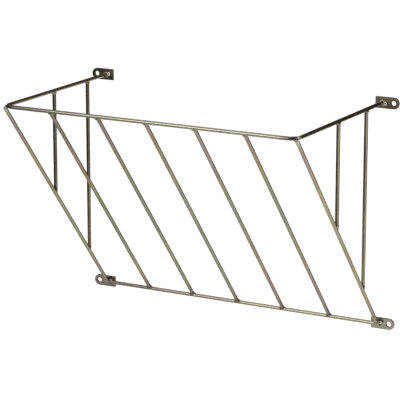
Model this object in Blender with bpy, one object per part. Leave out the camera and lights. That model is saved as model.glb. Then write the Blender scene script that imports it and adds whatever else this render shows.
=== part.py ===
"""A wall hay rack of welded round rod and flat-bar lugs.

The wall is the plane y = 0 and the rack stands out from it towards -Y. The origin is the
centre of the four screw holes, +X is the viewer's right and +Z is up. Lengths are in metres.
"""

import math

import bmesh
import bpy
from mathutils import Matrix, Vector

# Rod
ROD_DIAMETER = 0.010
ROD_SIDES = 20
ROD_FACET_TURN = math.radians(5)

# Rack, measured between rod axes, and from the wall to the front run's axis
RACK_WIDTH = 0.810
RACK_DEPTH = 0.500
RACK_HEIGHT = 0.580

# Top rail's two front bends, at the rod's axis
BEND_RADIUS = 0.025
BEND_STEPS = 9

# Front bars between the two end bars, evenly spaced
FRONT_BAR_COUNT = 5

# Uprights on each side, from the wall to the upright's axis
FRONT_UPRIGHT_DEPTH = 0.268
REAR_UPRIGHT_DEPTH = 0.104

# Wall lugs: flat bar with a round outboard end and a screw hole at that end's centre
LUG_WIDTH = 0.030
LUG_THICKNESS = 0.005
LUG_INBOARD = 0.020
LUG_HOLE_OFFSET = 0.030
LUG_HOLE_DIAMETER = 0.013
LUG_END_STEPS = 14

# How far the bottom rail's ends run past the end bars' axes
BOTTOM_RAIL_OVERRUN = 0.007

# Weld beads: reach past the rod's surface along the rail, round the rail, and up the bar
WELD_SPREAD = 0.0035
WELD_WRAP = 0.0016
WELD_CLIMB = 0.0060
WELD_SEGMENTS = 14
WELD_RINGS = 8
WELD_TURN = math.radians(7)

# Lower corner beads: reach along the bottom rail, up and down the lug, and out from it
CORNER_WELD_LENGTH = 0.0145
CORNER_WELD_HEIGHT = 0.0070
CORNER_WELD_DEPTH = 0.0130
CORNER_WELD_RISE = 0.0020

# Clearance that keeps neighbouring solids apart
GAP = 0.0003

# How far the lugs' cutters reach past what they cut
CUTTER_REACH = 0.020

# Edges sharper than this stay sharp in the shading
SHARP_ANGLE = math.radians(35)

# Surfaces: colour and roughness of each piece's plated steel
ROD_FINISH = ((0.30, 0.27, 0.19), 0.32)
LUG_FINISH = ((0.24, 0.23, 0.18), 0.40)
WELD_FINISH = ((0.36, 0.33, 0.24), 0.45)

# What follows from the sizes above: SEAT is from a rod's axis to what rests on the rod
ROD_RADIUS = ROD_DIAMETER / 2
HALF_WIDTH = RACK_WIDTH / 2
RAIL_TOP = RACK_HEIGHT / 2
RAIL_BOTTOM = -RACK_HEIGHT / 2
SEAT = ROD_RADIUS + GAP
LUG_FACE = -(LUG_THICKNESS + GAP)
BOTTOM_RAIL_Y = LUG_FACE - ROD_RADIUS
HOLE_X = HALF_WIDTH + LUG_HOLE_OFFSET

# Directions: a sloping bar runs down from the top rail to the bottom rail
RIGHT = Vector((1, 0, 0))
UP = Vector((0, 0, 1))
OUT_FROM_WALL = Vector((0, -1, 0))
BAR_DIRECTION = (
    Vector((0, BOTTOM_RAIL_Y, RAIL_BOTTOM)) - Vector((0, -RACK_DEPTH, RAIL_TOP))
).normalized()
BAR_NORMAL = BAR_DIRECTION.cross(RIGHT)
SIDES = {"left": -1, "right": 1}


def clear_scene():
    for thing in list(bpy.data.objects):
        bpy.data.objects.remove(thing, do_unlink=True)


def metal(name, colour, roughness):
    """A plated steel surface."""
    made = bpy.data.materials.new(name)
    made.use_nodes = True
    shader = made.node_tree.nodes["Principled BSDF"]
    shader.inputs["Base Color"].default_value = (*colour, 1)
    shader.inputs["Metallic"].default_value = 1.0
    shader.inputs["Roughness"].default_value = roughness
    return made


def add_object(name, form, material, parent):
    """Turns a bmesh into a smooth-shaded object under the rack's empty."""
    bmesh.ops.recalc_face_normals(form, faces=form.faces)
    mesh = bpy.data.meshes.new(name)
    form.to_mesh(mesh)
    form.free()
    mesh.shade_smooth()
    mesh.set_sharp_from_angle(angle=SHARP_ANGLE)
    if material:
        mesh.materials.append(material)
    made = bpy.data.objects.new(name, mesh)
    made.parent = parent
    bpy.context.scene.collection.objects.link(made)
    return made


def hide_helper(helper):
    """Keeps a cutter out of the model."""
    helper.hide_render = True
    helper.display_type = "WIRE"
    return helper


def cut(target, cutter):
    modifier = target.modifiers.new("cut_" + cutter.name, "BOOLEAN")
    modifier.operation = "DIFFERENCE"
    modifier.solver = "EXACT"
    modifier.object = cutter


def straight_bar(name, start, end, radius, material, parent):
    """A round bar with square ends, placed by its middle and its direction.

    Its facets are turned a little, so that none lines up with those of a rail it meets.
    """
    axis = end - start
    form = bmesh.new()
    bmesh.ops.create_cone(
        form, cap_ends=True, segments=ROD_SIDES, radius1=radius, radius2=radius, depth=axis.length
    )
    bmesh.ops.rotate(form, verts=form.verts, matrix=Matrix.Rotation(ROD_FACET_TURN, 3, "Z"))
    made = add_object(name, form, material, parent)
    made.location = (start + end) / 2
    made.rotation_mode = "QUATERNION"
    made.rotation_quaternion = axis.to_track_quat("Z", "Y")
    return made


class Rod:
    """A straight rod and the slightly larger cutter that keeps weld beads clear of it."""

    def __init__(self, name, start, end, material, parent, past_start=ROD_RADIUS, past_end=ROD_RADIUS):
        direction = (end - start).normalized()
        self.solid = straight_bar(name, start, end, ROD_RADIUS, material, parent)
        self.clearance = hide_helper(
            straight_bar(
                name + "_clearance",
                start - direction * past_start,
                end + direction * past_end,
                SEAT,
                None,
                parent,
            )
        )


def top_rail_path():
    """The rod's axis from the left upper lug round both bends to the right upper lug."""
    bend_x = HALF_WIDTH - BEND_RADIUS
    bend_y = -RACK_DEPTH + BEND_RADIUS
    path = [(Vector((-HALF_WIDTH, LUG_FACE, 0)), OUT_FROM_WALL)]
    for side, first in ((-1, math.pi), (1, 1.5 * math.pi)):
        for step in range(BEND_STEPS + 1):
            angle = first + step / BEND_STEPS * math.pi / 2
            out = Vector((math.cos(angle), math.sin(angle), 0))
            centre = Vector((side * bend_x, bend_y, 0))
            path.append((centre + out * BEND_RADIUS, UP.cross(out)))
    path.append((Vector((HALF_WIDTH, LUG_FACE, 0)), -OUT_FROM_WALL))
    return path


def swept_rail(name, radius, material, parent):
    """The U-shaped rail as rings of points along its axis, bridged and capped."""
    form = bmesh.new()
    rings = []
    for point, direction in top_rail_path():
        side = direction.cross(UP)
        ring = []
        for corner in range(ROD_SIDES):
            angle = 2 * math.pi * corner / ROD_SIDES
            ring.append(form.verts.new(point + (side * math.cos(angle) + UP * math.sin(angle)) * radius))
        rings.append(ring)
    for near, far in zip(rings, rings[1:]):
        for corner in range(ROD_SIDES):
            after = (corner + 1) % ROD_SIDES
            form.faces.new((near[corner], near[after], far[after], far[corner]))
    form.faces.new(rings[0])
    form.faces.new(reversed(rings[-1]))
    made = add_object(name, form, material, parent)
    made.location = (0, 0, RAIL_TOP)
    return made


def lug_form(grow, back):
    """A lug's solid about its hole's centre, from back to its face, with +X outboard."""
    form = bmesh.new()
    radius = LUG_WIDTH / 2 + grow
    inboard = -(LUG_INBOARD + LUG_HOLE_OFFSET) - grow
    outline = [(inboard, radius), (inboard, -radius)]
    for step in range(LUG_END_STEPS + 1):
        angle = math.pi * (step / LUG_END_STEPS - 0.5)
        outline.append((radius * math.cos(angle), radius * math.sin(angle)))
    face = form.faces.new([form.verts.new((x, back, z)) for x, z in outline])
    pulled = bmesh.ops.extrude_face_region(form, geom=[face])["geom"]
    corners = [item for item in pulled if isinstance(item, bmesh.types.BMVert)]
    bmesh.ops.translate(form, verts=corners, vec=OUT_FROM_WALL * (back + LUG_THICKNESS + grow))
    return form


def hole_form():
    """The drill that goes through a lug, about the hole's centre."""
    form = bmesh.new()
    radius = LUG_HOLE_DIAMETER / 2
    bmesh.ops.create_cone(
        form, cap_ends=True, segments=ROD_SIDES, radius1=radius, radius2=radius, depth=2 * CUTTER_REACH
    )
    bmesh.ops.rotate(form, verts=form.verts, matrix=Matrix.Rotation(math.pi / 2, 3, "X"))
    return form


def add_lug(name, side, height, material, parent):
    """A wall lug with its screw hole. Returns the cutter that keeps weld beads clear of it."""
    place = Vector((side * HOLE_X, 0, height))
    turn = 0 if side > 0 else math.pi
    lug = add_object(name, lug_form(0, 0), material, parent)
    drill = hide_helper(add_object(name + "_drill", hole_form(), None, parent))
    clearance = hide_helper(add_object(name + "_clearance", lug_form(GAP, CUTTER_REACH), None, parent))
    for thing in (lug, drill, clearance):
        thing.location = place
    for thing in (lug, clearance):
        thing.rotation_euler = (0, turn, 0)
    cut(lug, drill)
    return clearance


def add_bead(name, centre, along, normal, reach, neighbours, material, parent):
    """An oval weld bead, cut back from each neighbour. reach is along, across and normal."""
    form = bmesh.new()
    bmesh.ops.create_uvsphere(form, u_segments=WELD_SEGMENTS, v_segments=WELD_RINGS, radius=1)
    bmesh.ops.rotate(form, verts=form.verts, matrix=Matrix.Rotation(WELD_TURN, 3, (1, 1, 1)))
    bmesh.ops.scale(form, verts=form.verts, vec=reach)
    bead = add_object(name, form, material, parent)
    across = normal.cross(along)
    bead.location = centre
    bead.rotation_mode = "QUATERNION"
    bead.rotation_quaternion = Matrix((along, across, normal)).transposed().to_quaternion()
    for neighbour in neighbours:
        cut(bead, neighbour)
    return bead


def bar_ends(x):
    """Where a sloping bar starts under the top rail and ends on the bottom rail."""
    start = Vector((x, -RACK_DEPTH, RAIL_TOP)) + BAR_DIRECTION * SEAT
    end = Vector((x, BOTTOM_RAIL_Y, RAIL_BOTTOM)) - BAR_DIRECTION * SEAT
    return start, end


def bend_middle(side):
    """The middle of a front bend, on the top rail's axis."""
    inward = BEND_RADIUS * (1 - math.sqrt(0.5))
    return Vector((side * (HALF_WIDTH - inward), inward - RACK_DEPTH, RAIL_TOP))


def upright_foot_height(y):
    """The height at which an upright's square end first meets the end bar's upper side."""
    slope = BAR_DIRECTION.z / BAR_DIRECTION.y
    axis_height = RAIL_TOP + (y - ROD_RADIUS + RACK_DEPTH) * slope
    return axis_height + SEAT / BAR_DIRECTION.y


def build():
    clear_scene()
    rack = bpy.data.objects.new("hay_rack", None)
    bpy.context.scene.collection.objects.link(rack)
    rod_metal = metal("plated_rod", *ROD_FINISH)
    lug_metal = metal("plated_lug", *LUG_FINISH)
    weld_metal = metal("plated_weld", *WELD_FINISH)
    joint_reach = (ROD_RADIUS + WELD_SPREAD, ROD_RADIUS + WELD_WRAP, WELD_CLIMB)

    swept_rail("top_rail", ROD_RADIUS, rod_metal, rack)
    top_clearance = hide_helper(swept_rail("top_rail_clearance", SEAT, None, rack))
    bottom_end = HALF_WIDTH + BOTTOM_RAIL_OVERRUN
    bottom_rail = Rod(
        "bottom_rail",
        Vector((-bottom_end, BOTTOM_RAIL_Y, RAIL_BOTTOM)),
        Vector((bottom_end, BOTTOM_RAIL_Y, RAIL_BOTTOM)),
        rod_metal,
        rack,
        past_start=GAP,
        past_end=GAP,
    )

    spacing = RACK_WIDTH / (FRONT_BAR_COUNT + 1)
    for number in range(1, FRONT_BAR_COUNT + 1):
        name = "front_bar_%d" % number
        start, end = bar_ends(-HALF_WIDTH + spacing * number)
        bar = Rod(name, start, end, rod_metal, rack)
        add_bead(
            name + "_top_weld", start, RIGHT, BAR_DIRECTION, joint_reach,
            (top_clearance, bar.clearance), weld_metal, rack,
        )
        add_bead(
            name + "_foot_weld", end, RIGHT, -BAR_DIRECTION, joint_reach,
            (bottom_rail.clearance, bar.clearance), weld_metal, rack,
        )

    for side_name, side in SIDES.items():
        x = side * HALF_WIDTH
        upper_lug = add_lug("upper_lug_" + side_name, side, RAIL_TOP, lug_metal, rack)
        lower_lug = add_lug("lower_lug_" + side_name, side, RAIL_BOTTOM, lug_metal, rack)
        add_bead(
            "upper_lug_weld_" + side_name, Vector((x, LUG_FACE, RAIL_TOP)), RIGHT, OUT_FROM_WALL,
            (ROD_RADIUS + WELD_SPREAD, ROD_RADIUS + WELD_SPREAD, WELD_CLIMB),
            (top_clearance, upper_lug), weld_metal, rack,
        )

        start, end = bar_ends(x)
        end_bar = Rod("end_bar_" + side_name, start, end, rod_metal, rack, past_start=ROD_DIAMETER)
        cut(end_bar.solid, top_clearance)
        bar_point = start + BAR_DIRECTION * ROD_RADIUS
        across_joint = bend_middle(side) - bar_point
        add_bead(
            "end_bar_%s_top_weld" % side_name, (bar_point + bend_middle(side)) / 2,
            BAR_DIRECTION.cross(across_joint).normalized(), across_joint.normalized(),
            (ROD_RADIUS + WELD_WRAP, ROD_RADIUS + WELD_SPREAD, across_joint.length / 2),
            (top_clearance, end_bar.clearance), weld_metal, rack,
        )
        add_bead(
            "lower_corner_weld_" + side_name,
            Vector((x, LUG_FACE, RAIL_BOTTOM + ROD_RADIUS + CORNER_WELD_RISE)), RIGHT, OUT_FROM_WALL,
            (CORNER_WELD_LENGTH, CORNER_WELD_HEIGHT, CORNER_WELD_DEPTH),
            (bottom_rail.clearance, end_bar.clearance, lower_lug), weld_metal, rack,
        )

        for place, depth in (("front", FRONT_UPRIGHT_DEPTH), ("rear", REAR_UPRIGHT_DEPTH)):
            name = "%s_upright_%s" % (place, side_name)
            top = Vector((x, -depth, RAIL_TOP - SEAT))
            foot = Vector((x, -depth, upright_foot_height(-depth)))
            upright = Rod(name, top, foot, rod_metal, rack, past_end=GAP)
            add_bead(
                name + "_top_weld", top, OUT_FROM_WALL, -UP, joint_reach,
                (top_clearance, upright.clearance), weld_metal, rack,
            )
            add_bead(
                name + "_foot_weld", foot - UP * ROD_RADIUS, BAR_DIRECTION, BAR_NORMAL,
                (ROD_RADIUS + WELD_CLIMB, ROD_RADIUS + WELD_WRAP, WELD_CLIMB),
                (end_bar.clearance, upright.clearance), weld_metal, rack,
            )


build()
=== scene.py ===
"""Dresses the CAD frame of a wall hay rack: bent and straight round rod, flat-bar lugs and
lumpy weld beads, all zinc plated with an olive passivation, in a plain pale studio.

Lengths are in metres. The wall is the plane y = 0, +X is the viewer's right and +Z is up.
"""

import math
import random

import bmesh
import bpy
from mathutils import Matrix, Vector
from mathutils.kdtree import KDTree


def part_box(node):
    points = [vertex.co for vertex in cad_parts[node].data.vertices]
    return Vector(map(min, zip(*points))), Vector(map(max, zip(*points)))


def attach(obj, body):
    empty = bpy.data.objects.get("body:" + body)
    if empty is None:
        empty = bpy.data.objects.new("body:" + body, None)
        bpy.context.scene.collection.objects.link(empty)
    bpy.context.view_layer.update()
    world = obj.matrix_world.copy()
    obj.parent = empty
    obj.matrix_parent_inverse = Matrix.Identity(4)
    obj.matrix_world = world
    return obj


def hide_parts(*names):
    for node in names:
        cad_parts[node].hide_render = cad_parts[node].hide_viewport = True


bl_info = {
    "name": "Wall hay rack",
    "version": (1, 0, 0),
    "blender": (4, 5, 0),
    "location": "View3D > Sidebar > Hay rack",
    "description": "Plated rod, lugs and weld beads over the rack's CAD frame, and its studio",
    "category": "Object",
}

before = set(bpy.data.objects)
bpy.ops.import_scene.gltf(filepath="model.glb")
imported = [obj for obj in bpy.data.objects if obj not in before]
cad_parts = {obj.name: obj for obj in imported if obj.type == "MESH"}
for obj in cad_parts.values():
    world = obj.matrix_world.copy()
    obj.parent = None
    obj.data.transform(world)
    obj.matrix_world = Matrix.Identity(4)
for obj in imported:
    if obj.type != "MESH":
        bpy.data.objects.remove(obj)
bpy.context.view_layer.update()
RAIL_LOW, RAIL_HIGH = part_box("top_rail")
FOOT_LOW, FOOT_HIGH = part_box("bottom_rail")
LUG_LOW, LUG_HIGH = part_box("upper_lug_right")


def middle(node, axis):
    """The middle of a CAD node's box along one axis."""
    return sum(corner[axis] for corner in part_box(node)) / 2


UPRIGHT_PLACES = {name: middle(name + "_upright_right", 1) for name in ("front", "rear")}
BAR_PLACES = {
    name: middle(name, 0)
    for name in sorted(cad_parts)
    if name.startswith("front_bar") and "weld" not in name
}

RIGHT = Vector((1, 0, 0))
UP = Vector((0, 0, 1))
OUT = Vector((0, -1, 0))
SIDES = {"left": -1, "right": 1}
QUARTER = math.pi / 2

ROD_SIDES = 40
BEND_STEPS = 20
RING_PITCH = 0.004
STATION_PITCH = 0.002
SEAT_GAP = 0.0003
WELD_VOXEL = 0.00026

# Painted shade over the foot of a front bar, darker towards the bottom rail.
BAR_FOOT_PAINTED_SHADE = ((0.92, 0.96), (0.965, 0.72), (1, 0.54))

# How each rod took the plating: how green it is, how pink its ends are and how far the pink
# runs from each of them, how much bare zinc shows, and its painted light and shade at shares of
# its length: painted highlights and painted shade at the bends, the cut ends and the feet.
BATHS_AND_PAINTED_LIGHT = {
    "top_rail": (
        0.045, 0.23, 0.02, 0.02, 0.55,
        (
            (0, 1.5), (0.262, 1.5), (0.274, 0.52), (0.288, 0.42), (0.4, 0.84), (0.56, 1.05),
            (0.7, 1.04), (0.715, 0.5), (0.724, 0.42), (0.732, 1.25), (0.77, 0.8), (1, 0.62),
        ),
    ),
    "bottom_rail": (0.035, 0.2, 0.46, 0.001, 0.5, ((0, 0.74), (0.14, 0.8), (0.6, 1.1), (1, 1.14))),
    "front_bar_1": (0.06, 0.23, 0.27, 0.11, 0.0, ((0, 0.84), (0.92, 1), (0.965, 0.76), (1, 0.56))),
    "front_bar_2": (0.075, 0.23, 0.19, 0.02, 0.0, ((0, 0.9), *BAR_FOOT_PAINTED_SHADE)),
    "front_bar_3": (0.09, 0.23, 0.24, 0.02, 0.0, ((0, 1), *BAR_FOOT_PAINTED_SHADE)),
    "front_bar_4": (0.03, 0.23, 0.19, 0.2, 0.0, ((0, 1.03), (0.92, 0.94), (0.965, 0.7), (1, 0.52))),
    "front_bar_5": (0.05, 0.23, 0.13, 0.3, 0.0, ((0, 1), *BAR_FOOT_PAINTED_SHADE)),
    "end_bar_left": (0.02, 0.29, 0.19, 0.13, 0.1, ((0, 1.45), (0.03, 1.06), (1, 1.03))),
    "end_bar_right": (-0.005, 0.155, 0.16, 0.11, 0.0, ((0, 1.6), (0.03, 1.16), (1, 1.08))),
    "front_upright_left": (0.01, 0.08, 0.03, 0.001, 0.0, ((0, 0.54), (1, 0.62))),
    "front_upright_right": (
        0.0, 0.135, 0.02, 0.1, 0.0, ((0, 1.05), (0.4, 0.92), (0.9, 1.1), (1, 0.85)),
    ),
    "rear_upright_left": (
        -0.02, 0.1, 0.03, 0.13, 0.0, ((0, 0.54), (0.3, 0.46), (0.6, 0.7), (1, 1.02)),
    ),
    "rear_upright_right": (-0.08, -0.11, 0.03, 0.09, 0.0, ((0, 0.96), (0.5, 0.96), (1, 1.42))),
}

# Where the passivation has each colour, from pink to green and back.
HUES = (
    (0.3, "lilac"), (0.37, "rose"), (0.43, "gold"),
    (0.49, "olive"), (0.57, "sage"), (0.68, "olive"),
)

# The painted light and shade on each lug at its hole and at its inboard end, and how brown it is.
LUG_PAINTED_LIGHT_AND_BROWN = {
    ("upper", "left"): (0.36, 0.62, 0.6),
    ("upper", "right"): (0.84, 1.02, 1.0),
    ("lower", "left"): (0.98, 0.88, 0.0),
    ("lower", "right"): (1.42, 1.22, 0.1),
}


def length_property(name, description, default):
    return bpy.props.FloatProperty(
        name=name, description=description, default=default, unit="LENGTH"
    )


def level_property(name, description, default):
    return bpy.props.FloatProperty(name=name, description=description, default=default, min=0)


def colour_property(name, description, default):
    return bpy.props.FloatVectorProperty(
        name=name, description=description, default=default, size=3, subtype="COLOR", min=0, max=1
    )


class RackSizes(bpy.types.PropertyGroup):
    """The sizes that a maker would change."""

    rod: length_property("Rod", "Diameter of the round rod", RAIL_HIGH.z - RAIL_LOW.z)
    bend: length_property("Bend", "Radius of the top rail's two bends at its axis", 0.025)
    chamfer: length_property("Rod chamfer", "Broken edge on each cut rod end", 0.0005)
    lug_height: length_property("Lug height", "Width of the flat bar", LUG_HIGH.z - LUG_LOW.z)
    lug_thickness: length_property("Lug thickness", "Thickness of the bar", LUG_HIGH.y - LUG_LOW.y)
    lug_hole: length_property("Screw hole", "Diameter of the hole in each lug", 0.013)
    lug_edge: length_property("Lug edge", "Roll-over on the lugs' edges", 0.0006)
    puddle: length_property("Weld puddle", "Half the width of one ripple of a weld", 0.0026)
    unevenness: length_property("Rod unevenness", "How far drawn rod strays from true", 0.00016)


class PlatingAndPaintedLightColours(bpy.types.PropertyGroup):
    """The colours that the passivation runs through along the rods, those of the welds, stains and
    bare zinc, and a painted glint and painted shade.
    """

    lilac: colour_property("Lilac", "The pinkest grey", (0.226, 0.195, 0.172))
    rose: colour_property("Rose brown", "Between lilac and gold", (0.238, 0.188, 0.143))
    gold: colour_property("Gold", "Between rose brown and olive", (0.246, 0.219, 0.128))
    olive: colour_property("Olive", "The green most of the rack has", (0.229, 0.226, 0.147))
    sage: colour_property("Sage", "The greenest grey", (0.212, 0.223, 0.161))
    # Straw serves the welds' light blotches and the painted highlight on their crests.
    straw: colour_property("Straw", "The light crests of the welds", (0.335, 0.305, 0.212))
    # A painted highlight: the glints painted on the welds' ring crests, spatter and run ends.
    bright: colour_property("Bright", "Fresh zinc where a weld run ends", (0.84, 0.81, 0.7))
    # Dark brown for stains, lug blotches and rims, and also the painted shade near the welds.
    umber_and_shade: colour_property("Umber", "The darkest brown parts", (0.128, 0.108, 0.078))
    stone: colour_property("Stone", "Bare grey zinc", (0.262, 0.254, 0.215))
    # Dark for specks and pits, and also the painted shade in the welds' crevices and at places
    # marked below 0.
    soot_and_shade: colour_property("Soot", "Pits and crevices of the welds", (0.05, 0.044, 0.034))


class StudioSettings(bpy.types.PropertyGroup):
    """The floor and the light."""

    floor_height: length_property("Floor", "Height of the floor, from the lugs' centre", -1.45)
    floor_colour: colour_property("Floor colour", "The pale floor", (0.86, 0.86, 0.85))
    surround: level_property("Surround", "Strength of the light from all round", 0.55)
    softboxes: level_property("Softboxes", "Strength of the softboxes, as a share", 1.0)
    cards: level_property("Cards", "Tone of the cards that the metal reflects", 1.0)


def sums(operation):
    """The methods for one Python operator and its reflected form."""
    return (
        lambda self, other: self.recipe.sum(operation, self, other),
        lambda self, other: self.recipe.sum(operation, other, self),
    )


class Signal:
    """A shader socket in Python sums: each operator adds its Math node."""

    def __init__(self, recipe, socket):
        self.recipe = recipe
        self.socket = socket

    __add__, __radd__ = sums("ADD")
    __sub__, __rsub__ = sums("SUBTRACT")
    __mul__, __rmul__ = sums("MULTIPLY")


class Recipe:
    """The nodes of one material, or of the world."""

    def __init__(self, tree):
        self.tree = tree
        tree.nodes.clear()

    def node(self, kind, settings=None, values=None, output=0):
        """Adds a node, sets it up, fills its sockets and returns one of its outputs."""
        made = self.tree.nodes.new("ShaderNode" + kind)
        for name, setting in (settings or {}).items():
            if name == "stops":
                self.set_stops(made.color_ramp, setting)
            else:
                setattr(made, name, setting)
        for name, value in (values or {}).items():
            if isinstance(value, Signal):
                self.tree.links.new(value.socket, made.inputs[name])
            else:
                made.inputs[name].default_value = value
        return Signal(self, made.outputs[output]) if made.outputs else None

    def set_stops(self, ramp, stops):
        while len(ramp.elements) < len(stops):
            ramp.elements.new(1.0)
        for element, (place, colour) in zip(ramp.elements, stops):
            element.position = place
            element.color = (*colour, 1)

    def sum(self, operation, *values, kind="Math"):
        values = dict(enumerate(values))
        return self.node(kind, {"operation": operation}, values)

    def place(self):
        """Where a point is on the object."""
        return self.node("TexCoord", output="Object")

    def stored(self, name, output="Fac"):
        """A value that the mesh stores per point."""
        return self.node("Attribute", {"attribute_name": name}, output=output)

    def noise(self, place, scale, detail=2.0, roughness=0.5, distortion=0.0):
        values = {"Vector": place, "Scale": scale, "Detail": detail}
        values.update({"Roughness": roughness, "Distortion": distortion})
        return self.node("TexNoise", None, values)

    def dots(self, place, scale, core, rim):
        """1 inside scattered dots, 0 past their rims."""
        cells = self.node("TexVoronoi", None, {"Vector": place, "Scale": scale})
        return self.between(cells, core, rim, 1, 0)

    def between(self, value, low, high, to_low=0, to_high=1):
        """A smooth step of value from low to high."""
        values = {"Value": value, "From Min": low, "From Max": high}
        values.update({"To Min": to_low, "To Max": to_high})
        return self.node("MapRange", {"interpolation_type": "SMOOTHSTEP"}, values)

    def mix(self, factor, first, second):
        """Mixes two colours, which are the node's sockets 6 and 7."""
        values = {0: factor, 6: first, 7: second}
        for slot in (6, 7):
            if not isinstance(values[slot], Signal):
                values[slot] = (*values[slot], 1)
        return self.node("Mix", {"data_type": "RGBA"}, values, output=2)

    def scaled(self, colour, level):
        """A colour made lighter or darker by a value."""
        grey = self.node("CombineXYZ", None, {0: level, 1: level, 2: level})
        return self.sum("MULTIPLY", colour, grey, kind="VectorMath")

    def stretched(self, vector, scale, shift=(0, 0, 0)):
        """A vector times scale, plus shift."""
        return self.sum("MULTIPLY_ADD", vector, scale, shift, kind="VectorMath")

    def passivation(self, place, colours, bath):
        """The slow change of colour over the plating. bath leans to lilac below 0, else to sage."""
        wide, narrow = self.noise(place, 1, 1, 0.4, 0.2), self.noise(place, 5, 1)
        drift = 0.24 + 0.42 * wide + 0.08 * narrow + bath
        stops = [(share, tuple(getattr(colours, name))) for share, name in HUES]
        hue = self.node("ValToRGB", {"stops": stops}, {"Fac": drift})
        depth = self.between(self.noise(place, 1.7, 1), 0.36, 0.64, 0.93, 1.07)
        return self.scaled(hue, depth)

    def surface(self, colour, metallic, roughness, height, strength, distance):
        """Joins what a finish is made of in its shader."""
        values = {"Strength": strength, "Distance": distance, "Height": height}
        bump = self.node("Bump", None, values)
        values = {"Base Color": colour, "Metallic": metallic, "Roughness": roughness}
        self.end(self.node("BsdfPrincipled", None, {**values, "Normal": bump}))

    def end(self, shader, kind="Material"):
        self.node("Output" + kind, None, {"Surface": shader})


def new_finish(name):
    made = bpy.data.materials.new(name)
    made.use_nodes = True
    return made, Recipe(made.node_tree)


def rod_finish(colours):
    """Drawn round rod: passivation that drifts along it, draw lines and specks, painted shade near
    the welds and painted light and shade along it.
    """
    recipe = new_finish("zinc_on_rod")[1]
    place, lay = recipe.place(), recipe.stored("lay", "Vector")
    heat, bath, light, bare = map(recipe.stored, ("heat", "bath", "light", "bare"))
    mottle = recipe.noise(place, 300)
    lines = recipe.noise(recipe.stretched(lay, (14, 900, 900)), 1, 2, 0.55)
    patch = recipe.stretched(place, (8, 8, 8), recipe.stretched(lay, (0, 40, 40)))
    stains = recipe.between(recipe.noise(place, 60, 3, 0.6, 0.6), 0.55, 0.68)
    fields = recipe.between(recipe.noise(place, 45), 0.55, 0.65)
    specks = recipe.dots(place, 420, 0.08, 0.18) * fields
    colour = recipe.mix(bare, recipe.passivation(patch, colours, bath), colours.stone)
    colour = recipe.mix(stains * 0.22, colour, colours.umber_and_shade)
    # Painted shade near the welds, in dark brown.
    colour = recipe.mix(recipe.between(heat, 0.2, 0.95) * 0.6, colour, colours.umber_and_shade)
    colour = recipe.mix(specks * 0.5, colour, colours.soot_and_shade)
    # light is the painted light and shade along the rod.
    colour = recipe.scaled(colour, light * (0.94 + 0.06 * mottle + 0.06 * lines))
    rough = 0.1 + 0.03 * mottle + 0.03 * lines + 0.07 * stains + 0.06 * heat
    recipe.surface(colour, 1 - 0.1 * stains, rough, lines * 0.6 + mottle, 0.04, 0.0003)


def lug_finish(colours):
    """Cut flat bar: greyer plating with rolled streaks and darker rims. Tone is painted light and
    shade, set per lug.
    """
    recipe = new_finish("zinc_on_lug")[1]
    place = recipe.place()
    tone, rim, brown = map(recipe.stored, ("tone", "rim", "brown"))
    mottle = recipe.noise(place, 420, 3, 0.55)
    rolled = recipe.noise(recipe.stretched(place, (60, 620, 620)), 1)
    blots = recipe.noise(place, 85, 3, 0.55, 0.8)
    patch = recipe.stretched(place, (20, 20, 20), (5.3, 2.2, 8.1))
    base = recipe.passivation(patch, colours, 0.05 - 0.17 * brown)
    zinc = recipe.between(blots, 0.32, 0.5) * (0.95 - 0.85 * brown)
    colour = recipe.mix(zinc, base, colours.stone)
    colour = recipe.mix(recipe.between(blots, 0.5, 0.7) * brown * 0.4, colour, colours.umber_and_shade)
    colour = recipe.mix(recipe.between(rim, 0.1, 1) * 0.7, colour, colours.umber_and_shade)
    # tone scales the colour by the lug's painted light and shade.
    colour = recipe.scaled(colour, tone * (0.86 + 0.16 * mottle + 0.12 * rolled))
    rough = 0.2 + 0.08 * mottle + 0.08 * blots
    metallic = 1 - 0.12 * recipe.between(blots, 0.5, 0.7)
    recipe.surface(colour, metallic, rough, rolled * 0.5 + mottle, 0.2, 0.0004)


def weld_finish(colours):
    """Plated weld: painted highlight on the crests of the ripples, painted shade in the crevices,
    pitted, with painted glints and painted shade where it is marked.
    """
    recipe = new_finish("zinc_on_weld")[1]
    place, fresh = recipe.place(), recipe.stored("fresh")
    relief = recipe.node("NewGeometry", output="Pointiness")
    grain = recipe.noise(place, 620, 3, 0.62)
    blots = recipe.noise(place, 230, 2, 0.5, 0.5)
    pits = recipe.dots(place, 330, 0.12, 0.26) * recipe.between(blots, 0.48, 0.6)
    patch = recipe.stretched(place, (34, 34, 34), (1.9, 4.4, 6.6))
    colour = recipe.passivation(patch, colours, -0.02)
    colour = recipe.mix(recipe.between(blots, 0.44, 0.62) * 0.5, colour, colours.straw)
    # Painted highlight on the crests and painted shade in the crevices, from how pointed the
    # surface is.
    colour = recipe.mix(recipe.between(relief, 0.515, 0.6) * 0.8, colour, colours.straw)
    colour = recipe.mix(recipe.between(relief, 0.485, 0.4) * 0.85, colour, colours.soot_and_shade)
    colour = recipe.mix(pits * 0.8, colour, colours.soot_and_shade)
    # Painted glints where the bead is marked above 0, painted shade where it is marked below 0.
    colour = recipe.mix(recipe.between(fresh, 0.15, 0.7), colour, colours.bright)
    colour = recipe.mix(recipe.between(fresh, -0.1, -0.6) * 0.9, colour, colours.soot_and_shade)
    colour = recipe.scaled(colour, 0.9 + 0.3 * grain)
    rough = 0.1 + 0.1 * grain + 0.12 * pits
    recipe.surface(colour, 1 - 0.3 * pits, rough, grain - pits, 0.2, 0.0005)


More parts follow.
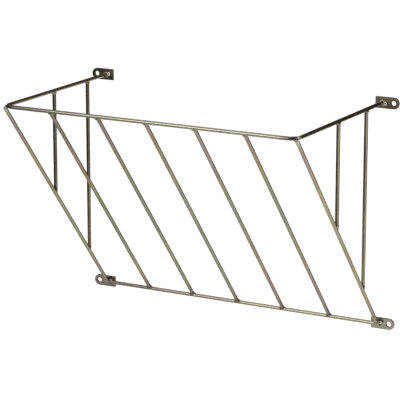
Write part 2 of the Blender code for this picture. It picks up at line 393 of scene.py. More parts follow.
class Layout:
    """Where the rods run, from the maker's sizes and the frame."""

    def __init__(self, context):
        self.sizes = context.scene.hayrack_sizes
        self.rod = self.sizes.rod / 2
        self.half = -RAIL_LOW.x - self.rod
        self.depth = -RAIL_LOW.y - self.rod
        self.top = middle("top_rail", 2)
        self.bottom = middle("bottom_rail", 2)
        self.foot_y = middle("bottom_rail", 1)
        self.seat = self.rod + SEAT_GAP
        self.wall_end = RAIL_HIGH.y
        self.bend_x = self.half - self.sizes.bend
        self.bend_y = self.sizes.bend - self.depth
        high, low = self.joints(0)
        self.slope = (low - high).normalized()

    def joints(self, x):
        """Where a sloping bar's axis meets those of the top and the bottom rail."""
        return Vector((x, -self.depth, self.top)), Vector((x, self.foot_y, self.bottom))

    def bar(self, x):
        """The two ends of a sloping bar."""
        high, low = self.joints(x)
        return high + self.slope * self.seat, low - self.slope * self.seat

    def bar_height(self, y):
        """How high a sloping bar's axis is at y."""
        return self.top + (y + self.depth) * self.slope.z / self.slope.y

    def uprights(self):
        """Each upright's CAD node, top and foot."""
        for name, side in SIDES.items():
            for place, y in UPRIGHT_PLACES.items():
                x, top = side * self.half, self.top - self.seat
                foot = self.bar_height(y - self.rod) + self.seat / self.slope.y
                yield "%s_upright_%s" % (place, name), Vector((x, y, top)), Vector((x, y, foot))

    def bend_middle(self, side):
        inward = self.sizes.bend * (1 - math.sqrt(0.5))
        return Vector((side * (self.half - inward), inward - self.depth, self.top))

    def weld_points(self):
        """The middle of every weld."""
        ends = (-self.half, self.half)
        points = [Vector((x, self.wall_end, self.top)) for x in ends]
        for pair in [self.bar(x) for x in (*BAR_PLACES.values(), *ends)]:
            points.extend(pair)
        for _, top, foot in self.uprights():
            points.extend((top, foot))
        return points

    def rail_stations(self):
        """Points and directions along the top rail's axis."""
        x, y, z = self.bend_x, self.bend_y, self.top
        stations = []

        def run(start_x, start_y, way, length):
            for step in range(int(length / STATION_PITCH) + 1):
                stations.append((Vector((start_x, start_y, z)) + way * step * STATION_PITCH, way))

        def bend(side, first):
            for step in range(BEND_STEPS + 1):
                angle = first + step / BEND_STEPS * QUARTER
                out = Vector((math.cos(angle), math.sin(angle), 0))
                place = Vector((side * x, y, z)) + out * self.sizes.bend
                stations.append((place, UP.cross(out)))

        run(-self.half, self.wall_end, OUT, self.wall_end - y)
        bend(-1, math.pi)
        run(-x, -self.depth, RIGHT, 2 * x)
        bend(1, 3 * QUARTER)
        run(self.half, y, -OUT, self.wall_end - y)
        return stations


def start_afresh():
    """Leaves edit mode and selects nothing."""
    if bpy.context.mode != "OBJECT":
        bpy.ops.object.mode_set(mode="OBJECT")
    bpy.ops.object.select_all(action="DESELECT")


def focus(piece):
    """Selects the piece alone."""
    start_afresh()
    piece.select_set(True)
    bpy.context.view_layer.objects.active = piece


def edit(piece):
    """Goes into edit mode on the piece with all of it selected."""
    focus(piece)
    bpy.ops.object.mode_set(mode="EDIT")
    bpy.ops.mesh.select_all(action="SELECT")


def pick(piece, kind, wanted):
    """Selects the faces or edges of the piece in edit mode that wanted says yes to."""
    bpy.ops.mesh.select_mode(type=kind)
    bpy.ops.mesh.select_all(action="DESELECT")
    form = bmesh.from_edit_mesh(piece.data)
    for part in getattr(form, kind.lower() + "s"):
        part.select_set(bool(wanted(part)))
    form.select_flush_mode()
    bmesh.update_edit_mesh(piece.data)


def settle(piece):
    """Puts the piece's place in its mesh."""
    focus(piece)
    bpy.ops.object.transform_apply(location=True, rotation=True, scale=True)


def shape(piece, kind, **settings):
    """Adds one modifier and applies it."""
    modifier = piece.modifiers.new(kind.lower(), kind)
    for name, setting in settings.items():
        setattr(modifier, name, setting)
    focus(piece)
    bpy.ops.object.modifier_apply(modifier=modifier.name)


def roughen(piece, pattern, size, strength):
    """Moves the surface in and out by a soft pattern."""
    soft = bpy.data.textures.get(pattern) or bpy.data.textures.new(pattern, "CLOUDS")
    soft.noise_scale = size
    soft.noise_depth = 2
    shape(piece, "DISPLACE", texture=soft, texture_coords="LOCAL", strength=strength, mid_level=0.5)


def close_up(piece, angle):
    """Merges doubles, points the faces outwards, checks that the piece is closed and shades it."""
    edit(piece)
    bpy.ops.mesh.remove_doubles(threshold=0.000001)
    bpy.ops.mesh.normals_make_consistent(inside=False)
    bpy.ops.object.mode_set(mode="OBJECT")
    form = bmesh.new()
    form.from_mesh(piece.data)
    open_edges = sum(len(edge.link_faces) != 2 for edge in form.edges)
    form.free()
    if open_edges:
        raise RuntimeError("%s has %d open edges" % (piece.name, open_edges))
    bpy.ops.object.shade_smooth_by_angle(angle=math.radians(angle))


def dress(piece, node, finish):
    """Gives the piece its finish and lets it stand for its CAD node."""
    piece.data.name = piece.name
    piece.data.materials.append(bpy.data.materials[finish])
    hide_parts(node)
    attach(piece, "root")


def mark(piece, name, values, kind="FLOAT"):
    """Stores one value per point of the mesh."""
    attribute = piece.data.attributes.new(name, kind, "POINT")
    attribute.data.foreach_set("vector" if kind == "FLOAT_VECTOR" else "value", values)


def painted_light_at(stops, share):
    """The painted light and shade on a rod at a share of its length, between the stops that it lies
    between.
    """
    for (start, low), (end, high) in zip(stops, stops[1:]):
        if share <= end:
            return low + (high - low) * max(share - start, 0) / (end - start)
    return stops[-1][1]


def mark_rod(piece, stations, welds, bath, cut):
    """Stores where on the rod each point is, its painted shade near the welds, how it plated and
    its painted light and shade along it.

    cut is how much bare zinc shows at the first end, or 0 for as much as elsewhere.
    """
    lean, shift, first, last, bare, stops = bath
    weld_shade_start, weld_shade_fade, cut_fade = 0.006, 0.011, 0.03
    tree = KDTree(len(stations))
    travelled = [0.0]
    for number, (point, _) in enumerate(stations):
        tree.insert(point, number)
        if number:
            travelled.append(travelled[-1] + (point - stations[number - 1][0]).length)
    tree.balance()
    length = travelled[-1]
    lay, heat, plated, light, zinc = [], [], [], [], []
    for vertex in piece.data.vertices:
        number = tree.find(vertex.co)[1]
        point, direction = stations[number]
        side = direction.cross(UP if abs(direction.z) < 0.9 else RIGHT).normalized()
        away = vertex.co - point
        along = travelled[number] + away.dot(direction)
        lay += [along, away.dot(side), away.dot(direction.cross(side))]
        nearest = min((vertex.co - weld).length for weld in welds)
        # Painted shade that darkens the rod near each weld.
        heat.append(math.exp(-max(nearest - weld_shade_start, 0) / weld_shade_fade))
        pink = math.exp(-((along / first) ** 4)) + math.exp(-(((length - along) / last) ** 4))
        plated.append(lean - shift * min(pink, 1))
        # The painted light and shade along the rod.
        light.append(painted_light_at(stops, along / length))
        zinc.append(bare + (cut - bare) * math.exp(-((along / cut_fade) ** 2)) if cut else bare)
    mark(piece, "lay", lay, "FLOAT_VECTOR")
    for name, values in (("heat", heat), ("bath", plated), ("light", light), ("bare", zinc)):
        mark(piece, name, values)


def even_rings(piece):
    """Cuts the long edges, which run along the rod, into even rings."""
    edit(piece)
    lengths = [edge.calc_length() for edge in bmesh.from_edit_mesh(piece.data).edges]
    for length in dict.fromkeys(round(size, 4) for size in lengths if size > 1.5 * RING_PITCH):
        pick(piece, "EDGE", lambda edge: abs(edge.calc_length() - length) < 0.0002)
        bpy.ops.mesh.subdivide(number_cuts=int(length / RING_PITCH))


def finish_rod(rod, node, stations, layout, cut=0.0):
    """Puts a rod slightly out of true, as drawn rod is, and lets it stand for its CAD node."""
    rod.name = node + "_rod"
    even_rings(rod)
    roughen(rod, "drawn_rod", size=0.03, strength=layout.sizes.unevenness)
    close_up(rod, 35)
    mark_rod(rod, stations, layout.weld_points(), BATHS_AND_PAINTED_LIGHT[node], cut)
    dress(rod, node, "zinc_on_rod")


def cylinder(sides, radius, depth, location, rotation=(QUARTER, 0, 0)):
    start_afresh()
    bpy.ops.mesh.primitive_cylinder_add(
        vertices=sides, radius=radius, depth=depth, location=location, rotation=rotation
    )
    return bpy.context.object


def straight_rod(node, start, end, layout, cut=0.0):
    """A square-cut rod with broken edges."""
    axis = end - start
    turn = axis.to_track_quat("Z", "Y").to_euler()
    rod = cylinder(ROD_SIDES, layout.rod, axis.length, (start + end) / 2, turn)
    settle(rod)
    edit(rod)
    pick(rod, "EDGE", lambda edge: len(edge.link_faces) == 2 and edge.calc_face_angle() > 1.2)
    bpy.ops.mesh.bevel(offset=layout.sizes.chamfer, segments=2, profile=0.5)
    count = int(axis.length / STATION_PITCH)
    direction = axis.normalized()
    stations = [(start.lerp(end, step / count), direction) for step in range(count + 1)]
    finish_rod(rod, node, stations, layout, cut)


def extrude(by):
    bpy.ops.mesh.extrude_region_move(TRANSFORM_OT_translate={"value": by})


class RackStep:
    """What every operator here shares."""

    bl_options = {"REGISTER", "UNDO"}


class HAYRACK_OT_mix_finishes(RackStep, bpy.types.Operator):
    """Mix the three plated finishes: rod, lug and weld"""

    bl_idname = "hayrack.mix_finishes"
    bl_label = "Mix the plated finishes"

    def execute(self, context):
        for make in (rod_finish, lug_finish, weld_finish):
            make(context.scene.hayrack_colours)
        return {"FINISHED"}


class HAYRACK_OT_top_rail(RackStep, bpy.types.Operator):
    """Sweep the bent top rail from lug to lug"""

    bl_idname = "hayrack.top_rail"
    bl_label = "Top rail"

    def execute(self, context):
        layout = Layout(context)
        x, y = layout.bend_x, layout.bend_y
        start_afresh()
        bpy.ops.mesh.primitive_circle_add(
            vertices=ROD_SIDES,
            radius=layout.rod,
            fill_type="NGON",
            location=(-layout.half, layout.wall_end, layout.top),
            rotation=(QUARTER, 0, 0),
        )
        rail = context.object
        settle(rail)
        edit(rail)
        extrude((0, y - layout.wall_end, 0))
        self.bend((-x, y, layout.top))
        extrude((2 * x, 0, 0))
        self.bend((x, y, layout.top))
        extrude((0, layout.wall_end - y, 0))
        finish_rod(rail, "top_rail", layout.rail_stations(), layout)
        return {"FINISHED"}

    def bend(self, centre):
        bpy.ops.mesh.spin(steps=BEND_STEPS, angle=-QUARTER, center=centre, axis=(0, 0, 1))


class HAYRACK_OT_bottom_rail(RackStep, bpy.types.Operator):
    """Lay the straight bottom rail across the lower lugs"""

    bl_idname = "hayrack.bottom_rail"
    bl_label = "Bottom rail"

    def execute(self, context):
        layout = Layout(context)
        start, end = (layout.joints(x)[1] for x in (FOOT_LOW.x, FOOT_HIGH.x))
        straight_rod("bottom_rail", start, end, layout)
        return {"FINISHED"}


class HAYRACK_OT_sloping_bars(RackStep, bpy.types.Operator):
    """Stand the front bars and the two end bars from the bottom rail up to the top rail"""

    bl_idname = "hayrack.sloping_bars"
    bl_label = "Sloping bars"

    def execute(self, context):
        layout = Layout(context)
        for node, x in BAR_PLACES.items():
            straight_rod(node, *layout.bar(x), layout)
        for name, side in SIDES.items():
            straight_rod("end_bar_" + name, *layout.bar(side * layout.half), layout, cut=0.85)
        return {"FINISHED"}


class HAYRACK_OT_uprights(RackStep, bpy.types.Operator):
    """Stand the four uprights between the side runs and the end bars"""

    bl_idname = "hayrack.uprights"
    bl_label = "Uprights"

    def execute(self, context):
        layout = Layout(context)
        for node, top, foot in layout.uprights():
            straight_rod(node, top, foot, layout)
        return {"FINISHED"}


class HAYRACK_OT_lugs(RackStep, bpy.types.Operator):
    """Cut the four wall lugs from flat bar, round one end and drill it"""

    bl_idname = "hayrack.lugs"
    bl_label = "Wall lugs"

    def execute(self, context):
        layout = Layout(context)
        hole_x = LUG_HIGH.x - layout.sizes.lug_height / 2
        heights = {"upper": layout.top, "lower": layout.bottom}
        first = self.cut_lug(layout.sizes)
        for (level, side_name), tone in LUG_PAINTED_LIGHT_AND_BROWN.items():
            side, height = SIDES[side_name], heights[level]
            node = "%s_lug_%s" % (level, side_name)
            lug = first.copy()
            lug.data = first.data.copy()
            context.scene.collection.objects.link(lug)
            lug.name = node + "_plate"
            lug.location = (side * hole_x, 0, height)
            lug.scale = (side, 1, 1)
            settle(lug)
            close_up(lug, 40)
            self.mark_lug(lug, side, hole_x, height, *tone, layout.sizes)
            dress(lug, node, "zinc_on_lug")
        bpy.data.objects.remove(first)
        return {"FINISHED"}

    def cut_lug(self, sizes):
        """One lug about its hole's centre, with the round end towards +X."""
        radius, thickness = sizes.lug_height / 2, sizes.lug_thickness
        lug = cylinder(72, radius, thickness, (0, -thickness / 2, 0))
        settle(lug)
        edit(lug)
        bpy.ops.mesh.bisect(plane_co=(0, 0, 0), plane_no=(1, 0, 0), use_fill=True, clear_inner=True)
        pick(lug, "FACE", lambda face: face.normal.x < -0.9)
        extrude((radius - (LUG_HIGH.x - LUG_LOW.x), 0, 0))
        drill = cylinder(56, sizes.lug_hole / 2, 0.05, (0, 0, 0))
        shape(lug, "BOOLEAN", operation="DIFFERENCE", solver="EXACT", object=drill)
        bpy.data.objects.remove(drill)
        rounding = {"segments": 3, "limit_method": "ANGLE", "angle_limit": math.radians(40)}
        shape(lug, "BEVEL", width=sizes.lug_edge, **rounding)
        edit(lug)
        for _ in range(2):
            pick(lug, "FACE", lambda face: abs(face.normal.y) > 0.999 and len(face.verts) > 8)
            bpy.ops.mesh.inset(thickness=0.0016)
        bpy.ops.object.mode_set(mode="OBJECT")
        return lug

    def mark_lug(self, lug, side, hole_x, height, hole_painted_light, inboard_painted_light, brown, sizes):
        """Stores the lug's painted light and shade, its hue, and how near its rim and hole each
        point is.
        """
        half, rim_width, rims, tones = sizes.lug_height / 2, 0.002, [], []
        inboard = hole_x + half - (LUG_HIGH.x - LUG_LOW.x)
        for vertex in lug.data.vertices:
            x, z = side * vertex.co.x - hole_x, vertex.co.z - height
            from_hole = math.hypot(x, z)
            from_edge = half - (from_hole if x > 0 else abs(z))
            from_edge = max(min(from_edge, x + hole_x - inboard), 0)
            nearest = min(from_edge, abs(from_hole - sizes.lug_hole / 2))
            rims.append(math.exp(-nearest / rim_width))
            # Painted light and shade, blended from the hole to the inboard end.
            share = min(max(-x / (hole_x - inboard), 0), 1)
            tones.append(hole_painted_light + (inboard_painted_light - hole_painted_light) * share)
        mark(lug, "rim", rims)
        mark(lug, "tone", tones)
        mark(lug, "brown", [brown] * len(rims))


def turns(count):
    """Even turns round a circle."""
    return [2 * math.pi * number / count for number in range(count)]


def ways(first, second, turn):
    """The way out of a circle at a turn from first to second, and the way on round it."""
    c, s = math.cos(turn), math.sin(turn)
    return first * c + second * s, second * c - first * s


class Bead:
    """A weld bead as overlapping puddles, laid one after the other."""

    def __init__(self, seed, layout):
        self.chance = random.Random(seed)
        self.size = layout.sizes.puddle
        self.rod = layout.rod
        self.puddles, self.marks = [], []

    def lay(self, centre, along, outwards, length=0.75, width=1.0, height=0.95):
        """One puddle: its half sizes along the bead, across it and outwards, in puddle sizes."""
        jitter = Vector([self.chance.uniform(-1, 1) for _ in range(3)]) * self.size * 0.1
        grow = self.size * self.chance.uniform(0.88, 1.14)
        along = along.normalized()
        outwards = (outwards - along * outwards.dot(along)).normalized()
        turn = Matrix((along, outwards.cross(along), outwards)).transposed().to_euler()
        self.puddles.append((centre + jitter, turn, (grow * length, grow * width, grow * height)))

    def spatter(self, centre, radius):
        self.puddles.append((centre, (0, 0, 0), (radius, radius, radius)))

    def shade(self, centre, radius, level):
        """Paints a glint of light near a place, or painted shade where the level is below 0."""
        self.marks.append((centre, radius, level))

    def crater(self, centre, outwards, reach, level):
        """The ring that is left where a weld run ends, with its sunken middle, painted glints on
        the ring and painted shade in the middle.
        """
        first = outwards.orthogonal().normalized()
        second = outwards.cross(first).normalized()
        for turn in turns(9):
            out, along = ways(first, second, turn)
            self.lay(centre + out * reach, along, outwards, 0.7, 0.75, 0.85)
            self.shade(centre + out * reach + outwards * 0.0012, 0.0016, level)
        self.shade(centre, reach * 0.6, -2.5)

    def fillet(self, joint, rail, bar, strong):
        """A ring round a bar where it meets a rail across it. joint is on the rail's axis."""
        normal = bar.cross(rail).normalized()
        rail = normal.cross(bar).normalized()
        reach = self.rod / 0.005

        def path(turn):
            c, s = math.cos(turn), math.sin(turn)
            climb = 0.0048 + 0.0015 * abs(c) ** 1.5
            return joint + (rail * 0.006 * c + normal * 0.0042 * s + bar * climb) * reach

        for turn in [turn + 0.3 for turn in turns(14)]:
            centre = path(turn)
            along = path(turn + 0.05) - path(turn - 0.05)
            grow = 1 + 0.22 * math.cos(turn - strong)
            outwards = centre - joint - bar * (centre - joint).dot(bar) * 0.6
            self.lay(centre, along, outwards, width=grow, height=0.92 * grow)
        for _ in range(4):
            away = ways(rail, normal, self.chance.uniform(0, 2 * math.pi))[0]
            height = self.chance.uniform(0.012, 0.02)
            radius = self.chance.uniform(0.0003, 0.0006)
            self.spatter(joint + bar * height + away * self.rod, radius)

    def pour(self, node):
        """Fuses the puddles into one lumpy skin, which stands for the weld's CAD node."""
        start_afresh()
        made = []
        for centre, turn, scale in self.puddles:
            bpy.ops.mesh.primitive_uv_sphere_add(
                segments=20, ring_count=12, radius=1, location=centre, rotation=turn, scale=scale
            )
            made.append(bpy.context.object)
        for puddle in made:
            puddle.select_set(True)
        bpy.context.view_layer.objects.active = made[0]
        bpy.ops.object.join()
        bead = bpy.context.object
        bead.name = node.replace("weld", "bead")
        settle(bead)
        shape(bead, "REMESH", mode="VOXEL", voxel_size=WELD_VOXEL)
        shape(bead, "SMOOTH", factor=0.5, iterations=4)
        roughen(bead, "weld_skin", size=0.0016, strength=0.0005)
        close_up(bead, 180)
        mark(bead, "fresh", [self.level_at(vertex.co) for vertex in bead.data.vertices])
        dress(bead, node, "zinc_on_weld")

    def level_at(self, place):
        return sum(
            level * math.exp(-((place - centre).length / radius) ** 2)
            for centre, radius, level in self.marks
        )


class HAYRACK_OT_bar_welds(RackStep, bpy.types.Operator):
    """Weld the front bars to the top and bottom rails"""

    bl_idname = "hayrack.bar_welds"
    bl_label = "Front bar welds"

    def execute(self, context):
        layout = Layout(context)
        for number, (node, x) in enumerate(BAR_PLACES.items()):
            high, low = layout.joints(x)
            top = Bead(100 + number, layout)
            top.fillet(high, RIGHT, layout.slope, strong=0.2 + math.pi * (number % 2))
            top.pour(node + "_top_weld")
            foot = Bead(200 + number, layout)
            foot.fillet(low, RIGHT, -layout.slope, strong=1.2 + number)
            self.lay_skirt(foot, low, layout.slope, with_glint=number in (1, 3, 4))
            foot.pour(node + "_foot_weld")
        return {"FINISHED"}

    def lay_skirt(self, bead, joint, slope, with_glint):
        """Puddles over the bottom rail's front, with painted shade round the bar and a painted
        glint at a run's end.
        """
        near = slope.cross(RIGHT)
        for step in range(6):
            centre = joint + RIGHT * (step * 0.0024 - 0.0058) + near * 0.0034 - slope * 0.0022
            bead.lay(centre, RIGHT, near, 0.9, 0.95, 0.85)
        bead.shade(joint + near * 0.004 - slope * 0.004, 0.008, -0.4)
        bead.shade(joint - RIGHT * 0.0074 + near * 0.0022 - slope * 0.005, 0.0034, -1.6)
        if with_glint:
            bead.shade(joint + RIGHT * 0.0062 + near * 0.0024 - slope * 0.005, 0.0021, 3.2)
            bead.shade(joint + RIGHT * 0.0092 + near * 0.0012 - slope * 0.0056, 0.0026, -1.2)


class HAYRACK_OT_upright_welds(RackStep, bpy.types.Operator):
    """Weld the uprights to the side runs and the end bars"""

    bl_idname = "hayrack.upright_welds"
    bl_label = "Upright welds"

    def execute(self, context):
        layout = Layout(context)
        for seed, (node, top, foot) in enumerate(layout.uprights(), 301):
            bead = Bead(seed, layout)
            joint = Vector((top.x, top.y, layout.top))
            bead.fillet(joint, OUT, -UP, strong=0.6 + seed)
            bead.pour(node + "_top_weld")
            bead = Bead(seed + 50, layout)
            self.lay_foot(bead, foot, layout, with_glint=node == "front_upright_right")
            bead.pour(node + "_foot_weld")
        return {"FINISHED"}

    def lay_foot(self, bead, foot, layout, with_glint):
        """Puddles that fill the wedge between an upright's square end and the sloping bar, with
        painted shade beside it and a painted glint where asked.
        """

        def path(turn):
            across, ahead = 0.0028 * math.sin(turn), 0.0038 * math.cos(turn) - 0.001
            y = foot.y + ahead
            over = math.sqrt(max(layout.rod ** 2 - across ** 2, 0)) / layout.slope.y
            return Vector((foot.x + across, y, layout.bar_height(y) + over + 0.0004))

        for turn in turns(14):
            low = path(turn)
            along = path(turn + 0.05) - path(turn - 0.05)
            rim = foot + Vector((math.sin(turn) * 0.0034, math.cos(turn) * 0.0034, 0.0012))
            steps = max(int((rim - low).length / 0.0013), 1)
            for step in range(steps + 1):
                centre = low.lerp(rim, step / steps)
                bead.lay(centre, along, centre - foot - UP * 0.004, width=0.8, height=0.7)
        near = foot + Vector((0.0034, -0.004, -0.0016))
        bead.shade(near, 0.0042, -1.1)
        if with_glint:
            bead.shade(near, 0.0016, 4.0)


class HAYRACK_OT_corner_welds(RackStep, bpy.types.Operator):
    """Weld the end bars to the bends above, and to the bottom rail and lugs below"""

    bl_idname = "hayrack.corner_welds"
    bl_label = "Corner welds"

    def execute(self, context):
        layout = Layout(context)
        kinds = (
            (400, "end_bar_%s_top_weld", self.lay_top),
            (410, "lower_corner_weld_%s", self.lay_bottom),
            (420, "upper_lug_weld_%s", self.lay_lug),
        )
        for side_name, side in SIDES.items():
            for seed, node, lay in kinds:
                bead = Bead(seed + side, layout)
                lay(bead, side, layout)
                bead.pour(node % side_name)
        return {"FINISHED"}

    def lay_top(self, bead, side, layout):
        """Puddles in the groove between the end bar's cut top and the bend, spatter with painted
        glints, a painted highlight on a splash at the right, and painted shade in the groove.
        """
        top = layout.bar(side * layout.half)[0]
        across = (top - layout.bend_middle(side)).normalized()
        middle = layout.bend_middle(side) + across * layout.rod
        first = layout.slope.cross(across).normalized()
        second = across.cross(first)
        for turn in turns(10):
            out = first * math.cos(turn) * 0.0038 + second * math.sin(turn) * 0.003
            bead.lay(middle + out, ways(first, second, turn)[1], out, 0.8, 0.85, 0.75)
        bead.lay(middle, second, first, 1.2, 1.0, 1.0)
        face, up = top - layout.slope * 0.0002, RIGHT.cross(layout.slope)
        spots = (-0.003, 0.0008, 0.0015), (0.0006, -0.0016, 0.0009), (0.003, 0.0004, 0.0009)
        for right, rise, radius in spots:
            spot = face + RIGHT * right + up * rise
            bead.spatter(spot, radius)
            bead.shade(spot, radius * 1.8, 1.6)
        if side > 0:
            splash = middle + RIGHT * 0.003 - OUT * 0.006 + UP * 0.0052
            bead.lay(splash, RIGHT * 0.5 - OUT * 0.85, UP + RIGHT, 1.3, 0.8, 0.5)
            bead.shade(splash, 0.0034, 2.4)
        bead.shade(middle - RIGHT * 0.001 + UP * 0.0012 + OUT * 0.002, 0.0034, -1.3)

    def lay_bottom(self, bead, side, layout):
        """A run over the bottom rail against the lug, a fillet round the end bar's foot, a crater
        with painted glints, and painted shade above the foot.
        """
        middle, y, z = side * layout.half, layout.foot_y, layout.bottom
        for number in range(13):
            x = middle + side * (-0.0125 + number * 0.002)
            centre = Vector((x, y + 0.0012, z + layout.rod + 0.0002))
            bead.lay(centre, RIGHT, UP - OUT * 0.2)
        for number in range(9):
            x = middle + side * (-0.008 + number * 0.002)
            centre = Vector((x, y + 0.003, z - layout.rod + 0.0006))
            bead.lay(centre, RIGHT, -UP, width=0.8, height=0.8)
        joint = layout.joints(middle)[1]
        bead.fillet(joint, RIGHT, -layout.slope, strong=0.0 if side > 0 else math.pi)
        end = joint + RIGHT * 0.0095 + UP * 0.0042 + OUT * 0.001
        bead.crater(end, OUT + UP * 0.3, 0.0026, 0.45 if side < 0 else 0.8)
        bead.shade(joint + RIGHT * 0.005 + UP * 0.008, 0.003, -1.2)

    def lay_lug(self, bead, side, layout):
        """A ring round the top rail's end on the lug's face, and the crater where it ends, with
        painted glints on its ring and painted shade in its middle.
        """
        centre = Vector((side * layout.half, layout.wall_end, layout.top))
        for turn in turns(15):
            out, along = ways(RIGHT, UP, turn)
            grow = 1 + 0.25 * math.cos(turn + 0.6)
            place = centre + out * 0.006 + OUT * 0.0012
            bead.lay(place, along, out + OUT, width=grow, height=0.9 * grow)
        lift = 0.0023 if side < 0 else -0.0016
        end = centre + RIGHT * 0.0082 + UP * lift + OUT * 0.0014
        bead.crater(end, OUT, 0.0033, 0.8 if side < 0 else 1.0)


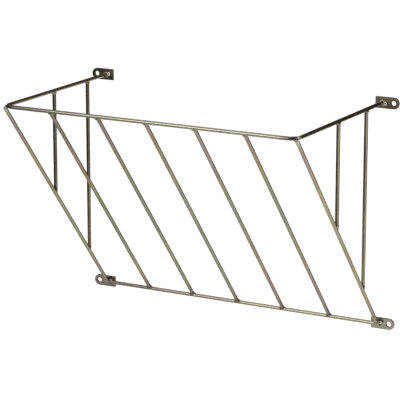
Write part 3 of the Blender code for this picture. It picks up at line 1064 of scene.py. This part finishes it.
class HAYRACK_OT_studio(RackStep, bpy.types.Operator):
    """Set the floor, the light, the cards and the camera"""

    bl_idname = "hayrack.studio"
    bl_label = "Studio"

    def execute(self, context):
        studio = context.scene.hayrack_studio
        context.scene.view_settings.view_transform = "Standard"
        self.camera(context)
        self.floor(studio)
        self.world(context, studio)
        self.cards(studio)
        self.lamps(studio)
        return {"FINISHED"}

    def camera(self, context):
        bpy.ops.object.camera_add(
            location=(2.4681, -4.7576, 1.3237),
            rotation=(math.radians(90 - 13.998), 0, math.radians(28.555)),
        )
        camera = context.object
        camera.name = "camera"
        camera.data.sensor_width = 36
        camera.data.lens = 188.01
        camera.data.clip_end = 400
        context.scene.camera = camera

    def seen(self, recipe):
        """1 for what the camera, a gloss or a glass sees straight on."""
        path = recipe.node("LightPath").socket.node
        names = ("Is Camera Ray", "Is Glossy Ray", "Is Transmission Ray")
        camera, gloss, glass = (Signal(recipe, path.outputs[name]) for name in names)
        return recipe.sum("MAXIMUM", recipe.sum("MAXIMUM", camera, gloss), glass)

    def floor(self, studio):
        start_afresh()
        bpy.ops.mesh.primitive_plane_add(size=160, location=(0, 0, studio.floor_height))
        floor = bpy.context.object
        floor.name = "floor"
        made, recipe = new_finish("pale_floor")
        matt = recipe.node("BsdfDiffuse", None, {"Color": (*studio.floor_colour, 1)})
        glow = recipe.node("Emission", None, {"Strength": self.seen(recipe) * 0.6})
        lit = recipe.node("AddShader", None, {0: matt, 1: glow})
        clear = recipe.node("BsdfTransparent")
        under = recipe.node("NewGeometry", output="Backfacing")
        recipe.end(recipe.node("MixShader", None, {0: under, 1: lit, 2: clear}))
        floor.data.materials.append(made)

    def world(self, context, studio):
        world = bpy.data.worlds.new("studio")
        world.use_nodes = True
        context.scene.world = world
        recipe = Recipe(world.node_tree)
        soft, white = (
            recipe.node("Background", None, {"Color": (1, 1, 1, 1), "Strength": level})
            for level in (studio.surround, 1)
        )
        values = {0: self.seen(recipe), 1: soft, 2: white}
        recipe.end(recipe.node("MixShader", None, values), "World")

    def cards(self, studio):
        """Cards round the set that shape the metal's reflections. Nothing else sees them.

        Place, size, turns about x and z, two tones, where one becomes the other, and tint.
        """
        level = studio.floor_height + 0.02
        plain, warm, straw, brown = (1, 1, 1), (1, 0.985, 0.95), (1, 0.96, 0.84), (1, 0.84, 0.58)
        places = {
            "back_card": ((0.5, 3.4, 1), (14, 5), (90, 0), 0.12, 0.11, -3, 2.4, brown),
            "left_card": ((-4.2, 0, 0.6), (10, 4.1), (90, 90), 0.09, 0.09, -1, 1, straw),
            "front_card": ((0, -4.2, -0.42), (8.4, 2.06), (90, 0), 0.04, 0.62, -3, 2.4, warm),
            "right_card": ((5.5, 0, 0.6), (10, 4.1), (90, 90), 0.75, 0.75, -2.8, -1.4, plain),
            "upper_right_card": ((5.4, -3.2, 1.4), (4.4, 2.4), (90, 90), 0.08, 0.08, 0, 1, warm),
            "overhead_card": ((0, -0.5, 3.8), (10, 9), (0, 0), 0.55, 1, -4, -1.9, plain),
            "right_overhead_card": ((3.4, -0.5, 3.7), (4.4, 9), (0, 0), 0.12, 0.12, 0, 1, plain),
            "dark_card": ((2.6, -4.9, 1.9), (4.2, 2.6), (90, 0), 0.06, 0.06, 0, 1, brown),
            "right_floor_card": ((3.8, -3.1, level), (5, 4), (0, 0), 0.1, 0.1, 0, 1, warm),
            "floor_card": ((-1.6, 0.55, level), (5.2, 5.7), (0, 0), 0.5, 1.25, -3, 1, warm),
            "front_floor_card": ((-1.6, -3.25, level), (5.2, 1.9), (0, 0), 0.95, 1.25, -3, 1, warm),
        }
        for name, (place, size, turn, low_tone, high_tone, low, high, tint) in places.items():
            made, recipe = new_finish(name)
            where = recipe.node("NewGeometry")
            output = "Y" if turn[1] else "X"
            across = recipe.node("SeparateXYZ", None, {0: where}, output)
            share = recipe.between(across, low, high)
            tones = [tuple(Vector(tint) * tone * studio.cards) for tone in (low_tone, high_tone)]
            colour = recipe.mix(share, *tones)
            recipe.end(recipe.node("Emission", None, {"Color": colour, "Strength": 1}))
            start_afresh()
            turn = (math.radians(turn[0]), 0, math.radians(turn[1]))
            bpy.ops.mesh.primitive_plane_add(size=1, location=place, rotation=turn)
            card = bpy.context.object
            card.name = name
            card.scale = (*size, 1)
            card.data.materials.append(made)
            for ray in ("camera", "diffuse", "shadow", "transmission"):
                setattr(card, "visible_" + ray, False)

    def lamps(self, studio):
        """Softboxes: left front and right, which the metal shows, and a fill overhead."""
        places = {
            "left_front_softbox": ((-1.15, -3.45, 1.3), (2.3, 1.3), 46, True),
            "right_softbox": ((3.9, -1.9, -0.75), (1.5, 1.3), 14, True),
            "overhead_fill": ((0, -0.8, 3.4), (3, 2.4), 70, False),
        }
        for name, (place, size, power, shows) in places.items():
            aim = Vector(place) - Vector((0, -0.25, 0))
            turn = aim.to_track_quat("Z", "Y").to_euler()
            bpy.ops.object.light_add(type="AREA", location=place, rotation=turn)
            lamp = bpy.context.object
            lamp.name = name
            lamp.visible_glossy = shows
            lamp.data.shape = "RECTANGLE"
            lamp.data.size, lamp.data.size_y = size
            lamp.data.energy = power * studio.softboxes


class HAYRACK_PT_panel(bpy.types.Panel):
    """Lists the rack's pieces, sizes and colours"""

    bl_idname = "HAYRACK_PT_panel"
    bl_label = "Wall hay rack"
    bl_space_type = "VIEW_3D"
    bl_region_type = "UI"
    bl_category = "Hay rack"

    def draw(self, context):
        for group in GROUPS:
            settings = getattr(context.scene, group)
            box = self.layout.box()
            for name in settings.bl_rna.properties.keys():
                if name not in ("rna_type", "name"):
                    box.prop(settings, name)
        for operator in OPERATORS:
            self.layout.operator(operator.bl_idname)


GROUPS = {
    "hayrack_sizes": RackSizes,
    "hayrack_colours": PlatingAndPaintedLightColours,
    "hayrack_studio": StudioSettings,
}
OPERATORS = (
    HAYRACK_OT_mix_finishes,
    HAYRACK_OT_top_rail,
    HAYRACK_OT_bottom_rail,
    HAYRACK_OT_sloping_bars,
    HAYRACK_OT_uprights,
    HAYRACK_OT_lugs,
    HAYRACK_OT_bar_welds,
    HAYRACK_OT_upright_welds,
    HAYRACK_OT_corner_welds,
    HAYRACK_OT_studio,
)
CLASSES = (*GROUPS.values(), *OPERATORS, HAYRACK_PT_panel)


def register():
    for kind in CLASSES:
        bpy.utils.register_class(kind)
    for name, group in GROUPS.items():
        setattr(bpy.types.Scene, name, bpy.props.PointerProperty(type=group))


def unregister():
    for name in GROUPS:
        delattr(bpy.types.Scene, name)
    for kind in reversed(CLASSES):
        bpy.utils.unregister_class(kind)


def main():
    register()
    for operator in OPERATORS:
        family, step = operator.bl_idname.split(".")
        getattr(getattr(bpy.ops, family), step)()


if __name__ == "__main__":
    main()
